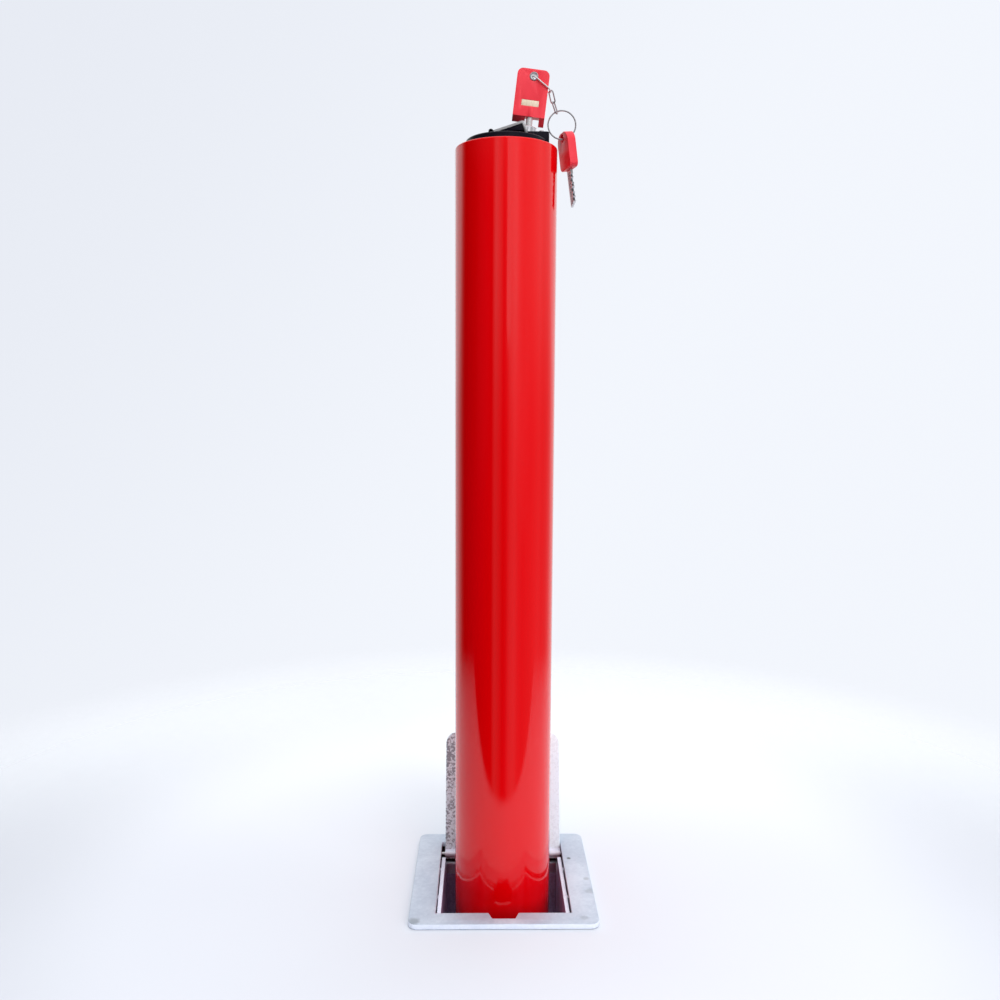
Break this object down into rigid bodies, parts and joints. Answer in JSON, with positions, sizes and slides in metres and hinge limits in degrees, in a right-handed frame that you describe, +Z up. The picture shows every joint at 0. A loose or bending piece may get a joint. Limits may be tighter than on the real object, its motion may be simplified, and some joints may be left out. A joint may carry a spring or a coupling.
{
  "type": "telescopic bollard",
  "caption": "Round parking post that slides down into a square ground casing under a hinged lid, with a lift handle and a key lock in its cap.",
  "frame": {"origin": "on the post's axis, level with the underside of the flange plate", "axes": "+Z up along the post; +X to the right seen from the front, towards the lock; the lid is behind the post, towards +Y"},
  "size_m": [0.198, 0.208, 1.6371],
  "materials": {
    "zinc": "hot-dip galvanised, matt",
    "steel": "bright zinc-plated steel",
    "chrome": "polished",
    "red_paint": "glossy powder coat",
    "black_plastic": "semi-gloss moulded",
    "nylon": "natural nylon",
    "rubber": "matt",
    "red_plastic": "moulded",
    "label": "blank cream label"
  },
  "bodies": {
    "ground": {"flange_plate": "zinc", "casing": "zinc", "gussets": "zinc", "rear_bar": "zinc", "hinge_ears": "zinc", "hinge_pin": "steel", "guide_plate": "zinc", "guide_ring": "nylon", "stop_plate": "zinc", "casing_floor": "zinc", "bottom_buffer": "rubber", "anchor_lugs": "zinc"},
    "lid": {"lid": "zinc", "lid_barrel": "zinc"},
    "post": {"post_tube": "red_paint", "top_cap": "black_plastic", "cap_screws": "steel", "handle_pin": "steel", "lock_barrel": "chrome", "rod_guide": "nylon", "bolt_carrier": "zinc", "foot_plate": "zinc", "foot_shoe": "nylon", "foot_screws": "steel"},
    "handle": {"handle_strap": "steel", "handle_grip": "black_plastic"},
    "plug": {"lock_plug": "steel"},
    "rod": {"lock_rod": "steel", "bolt_cam": "steel"},
    "right_bolt": {"bolt_right": "steel"},
    "left_bolt": {"bolt_left": "steel"},
    "key": {"key_blade": "steel", "key_head": "red_plastic", "key_label": "label", "key_eyelet": "steel"},
    "chain": {"key_loop": "steel", "chain_link_upper": "steel", "chain_link_lower": "steel"},
    "ring": {"split_ring": "steel"},
    "spare_key": {"spare_blade": "steel", "spare_head": "red_plastic"}
  },
  "joints": [
    {"name": "post_slide", "type": "slide", "parent": "ground", "child": "post", "axis": [0, 0, 1], "range_m": [-0.696, 0]},
    {"name": "lid_hinge", "type": "hinge", "parent": "ground", "child": "lid", "pos_m": [0, 0.0553, -0.0022], "axis": [1, 0, 0], "range_deg": [0, 20]},
    {"name": "handle_fold", "type": "hinge", "parent": "post", "child": "handle", "pos_m": [-0.0135, -0.0152, 0.6785], "axis": [0, -1, 0], "range_deg": [-18.5, 60]},
    {"name": "lock_turn", "type": "hinge", "parent": "post", "child": "plug", "pos_m": [0.0185, 0, 0.683], "axis": [0.1184, 0, 0.993], "range_deg": [-45, 0]},
    {"name": "rod_turn", "type": "hinge", "parent": "post", "child": "rod", "pos_m": [0.01335, 0, 0.6], "axis": [0, 0, 1], "range_deg": [-45, 0]},
    {"name": "right_bolt_slide", "type": "slide", "parent": "post", "child": "right_bolt", "axis": [1, 0, 0], "range_m": [0, 0.00829]},
    {"name": "left_bolt_slide", "type": "slide", "parent": "post", "child": "left_bolt", "axis": [-1, 0, 0], "range_m": [0, 0.00829]},
    {"name": "key_pull", "type": "slide", "parent": "plug", "child": "key", "axis": [0.1184, 0, 0.993], "range_m": [0, 0.1393]},
    {"name": "chain_swing", "type": "hinge", "parent": "key", "child": "chain", "pos_m": [0.02343, 0, 0.72944], "axis": [0, -1, 0], "range_deg": [0, 40]},
    {"name": "ring_swing", "type": "hinge", "parent": "chain", "child": "ring", "pos_m": [0.04376, 0, 0.6998], "axis": [0, -1, 0], "range_deg": [0, 30]},
    {"name": "spare_swing", "type": "hinge", "parent": "ring", "child": "spare_key", "pos_m": [0.052, 0, 0.6791], "axis": [1, 0, 0], "range_deg": [-15, 20]}
  ],
  "couplings": [
    {"joint": "rod_turn", "follows": "lock_turn", "ratio": 1},
    {"joint": "right_bolt_slide", "follows": "lock_turn", "m_per_rad": -0.010548},
    {"joint": "left_bolt_slide", "follows": "lock_turn", "m_per_rad": -0.010548},
    {"joint": "key_pull", "follows": "post_slide", "ratio": -0.2}
  ]
}
